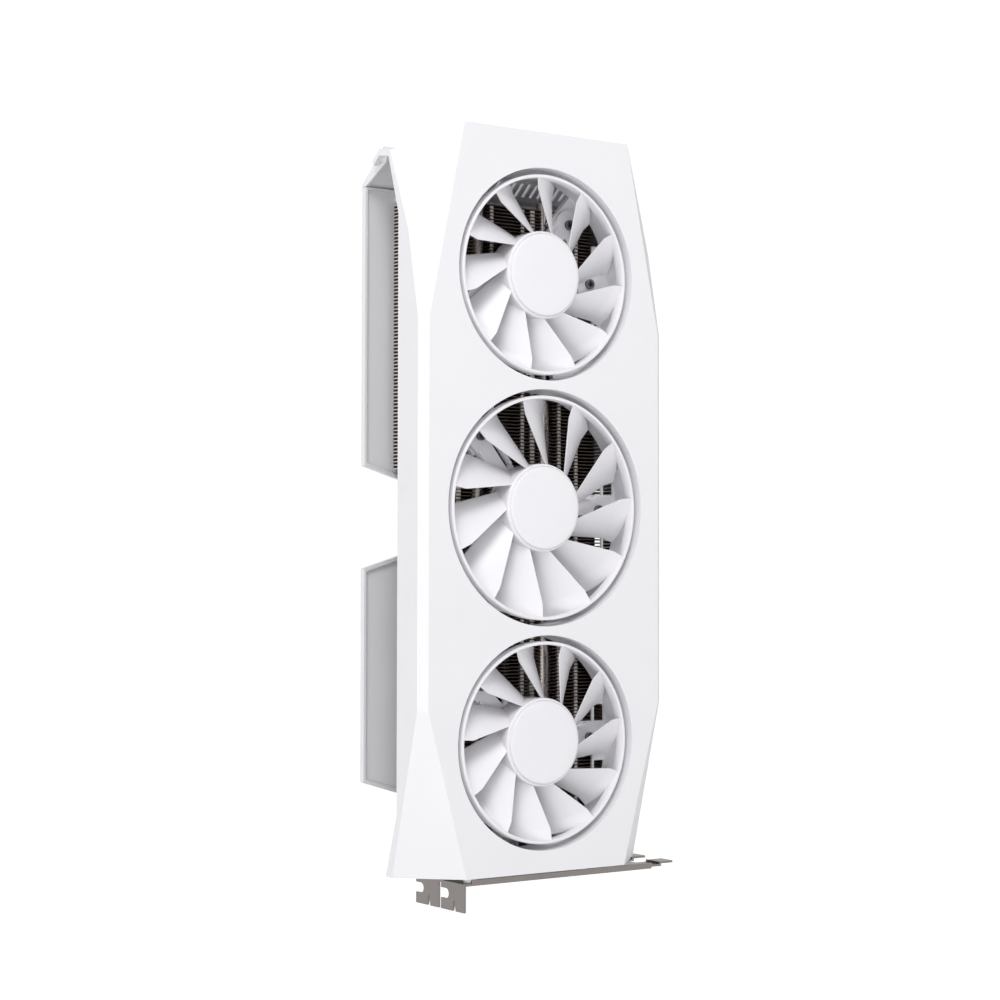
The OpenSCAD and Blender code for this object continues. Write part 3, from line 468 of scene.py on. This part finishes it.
def cap_corners(outline, xs):
    """Plates that close the corners between the cheeks of the end cap and its slope."""
    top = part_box("end_cap")[1][2] / MM
    bm = bmesh.new()
    for side in (-1, 1):
        rings = [[bm.verts.new(Vector((side * x, FRONT_Y + d, top - drop)) * MM) for d, drop in outline]
                 for x in xs]
        bm.faces.new(rings[0])
        bm.faces.new(rings[1][::-1])
        for k in range(len(outline)):
            j = (k + 1) % len(outline)
            bm.faces.new((rings[0][k], rings[0][j], rings[1][j], rings[1][k]))
    return piece("cap_corners", bm, "white_paint", "card", 30)


cap_corners(CORNER_OUTLINE, CORNER_X)


# ---------------------------------------------------------------- CAD nodes: rounded edges

FLAT_WITHIN = math.radians(0.6)     # triangles of one flat face
EDGE_FROM = math.radians(28)        # anything sharper gets a rounded edge


def soften(node, width):
    """Rounds the edges of a CAD node by a width in mm and keeps its flat faces flat."""
    o = nodes[node]
    w = o.modifiers.new("weld", "WELD")
    w.merge_threshold = 1e-6
    d = o.modifiers.new("flat", "DECIMATE")
    d.decimate_type = "DISSOLVE"
    d.angle_limit = FLAT_WITHIN
    b = o.modifiers.new("bevel", "BEVEL")
    b.width = width * MM
    b.segments = 2
    b.limit_method = "ANGLE"
    b.angle_limit = EDGE_FROM
    b.use_clamp_overlap = True
    n = o.modifiers.new("flat_faces", "WEIGHTED_NORMAL")
    n.keep_sharp = True


# rubbed-down moulding edges, and the folded or cut edges of the sheet parts
for n, width in (("shroud", 0.8), ("end_cap", 0.3), ("backplate", 0.3), ("io_bracket", 0.2),
                 ("retention_bracket", 0.2), ("fan_frame_lower", 0.25), ("fan_frame_middle", 0.25),
                 ("fan_frame_upper", 0.25), ("power_sockets", 0.2), ("capacitors", 0.3), ("inductors", 0.3),
                 ("base_plate", 0.2), ("cold_plate", 0.2)):
    soften(n, width)


# ---------------------------------------------------------------- stage, light, camera

def map_range(tree, value, from_min, from_max, to_min, to_max):
    """Clamped linear map of a value, as a node's output."""
    n = tree.nodes.new("ShaderNodeMapRange")
    limits = {"From Min": from_min, "From Max": from_max, "To Min": to_min, "To Max": to_max}
    for label, limit in limits.items():
        n.inputs[label].default_value = limit
    tree.links.new(value, n.inputs["Value"])
    return n.outputs["Result"]


def paper_floor(name, half, z, grey):
    """Square sheet of paper, lit from below more and more with distance from the card."""
    me = bpy.data.meshes.new(name)
    corners = [(-half, -half, z), (half, -half, z), (half, half, z), (-half, half, z)]
    me.from_pydata(corners, [], [(0, 1, 2, 3)])
    o = bpy.data.objects.new(name, me)
    scene.collection.objects.link(o)
    paper = Mat(name + "_paper", (grey, grey, grey), 0.9)
    paper.vary(paper.noise(3, 2), 0.004)
    reach = paper.nt.nodes.new("ShaderNodeVectorMath")
    reach.operation = "LENGTH"
    paper.nt.links.new(paper.co, reach.inputs[0])
    glow = map_range(paper.nt, reach.outputs["Value"], 0.4, 1.15, 0.0, 0.72)
    paper.b.inputs["Emission Color"].default_value = (1, 1, 1, 1)
    paper.nt.links.new(glow, paper.b.inputs["Emission Strength"])
    me.materials.append(paper.m)


world = bpy.data.worlds.new("studio")
scene.world = world
world.use_nodes = True
wn, wl = world.node_tree.nodes, world.node_tree.links
around = wn.new("ShaderNodeTexCoord").outputs["Generated"]


def room_glow(direction, near, far, low, high):
    """Brightness of the room as it rises from low to high towards a direction."""
    dot = wn.new("ShaderNodeVectorMath")
    dot.operation = "DOT_PRODUCT"
    dot.inputs[1].default_value = direction
    wl.new(around, dot.inputs[0])
    return map_range(world.node_tree, dot.outputs["Value"], near, far, low, high)


# a broad white wall to the left, a dim right side, and a white backdrop behind the card
LEFT_WALL, BACKDROP = (-0.58, -0.62, 0.53), (0.57, 0.82, 0.0)
brightest = wn.new("ShaderNodeMath")
brightest.operation = "MAXIMUM"
wl.new(room_glow(LEFT_WALL, -0.4, 0.95, 0.06, 0.86), brightest.inputs[0])
wl.new(room_glow(BACKDROP, 0.7, 0.93, 0.0, 1.03), brightest.inputs[1])
wl.new(brightest.outputs["Value"], wn["Background"].inputs["Strength"])
wn["Background"].inputs["Color"].default_value = (1, 1, 1, 1)

# well below the card and as wide as the view
FLOOR_HALF, FLOOR_Z, FLOOR_GREY = 14, -0.35, 0.60
paper_floor("floor", FLOOR_HALF, FLOOR_Z, FLOOR_GREY)

# camera: place in metres, then its heading to the right of +Y, its tilt up and its roll
CAMERA_AT = (-0.5544, -0.8126, 0.1371)
YAW, PITCH, ROLL = math.radians(34.673), math.radians(1.858), math.radians(0.099)
fwd = Vector((math.sin(YAW) * math.cos(PITCH), math.cos(YAW) * math.cos(PITCH), math.sin(PITCH)))
right = fwd.cross(Vector((0, 0, 1))).normalized()
up = right.cross(fwd)
right, up = right * math.cos(ROLL) + up * math.sin(ROLL), up * math.cos(ROLL) - right * math.sin(ROLL)
cam = bpy.data.cameras.new("camera")
cam.lens = 77.39
cam.sensor_width = 36
cam.clip_start = 0.01
cam.clip_end = 60
co = bpy.data.objects.new("camera", cam)
scene.collection.objects.link(co)
co.matrix_world = Matrix([(right[k], up[k], -fwd[k], CAMERA_AT[k]) for k in range(3)] + [(0, 0, 0, 1)])
scene.camera = co


def softbox(name, pos, target, w, h, power):
    """White area light of w by h metres at pos, turned to target; power in watts."""
    d = bpy.data.lights.new(name, "AREA")
    d.shape = "RECTANGLE"
    d.size, d.size_y = w, h
    d.energy = power
    o = bpy.data.objects.new(name, d)
    scene.collection.objects.link(o)
    o.location = pos
    o.rotation_euler = (Vector(target) - Vector(pos)).to_track_quat("-Z", "Y").to_euler()


softbox("key_left", (-0.68, -0.85, 1.30), (0, 0, 0.17), 0.6, 0.7, 9)
softbox("low_left", (-0.90, -0.80, -0.24), (-0.04, -0.04, 0.03), 0.4, 0.2, 1.5)
softbox("fill_right", (1.3, -1.1, 0.3), (0, 0, 0.16), 1.2, 1.4, 0.3)
softbox("back_left", (-1.0, 1.4, 0.9), (0, 0, 0.16), 1.0, 1.0, 1.2)

scene.view_settings.view_transform = "Standard"
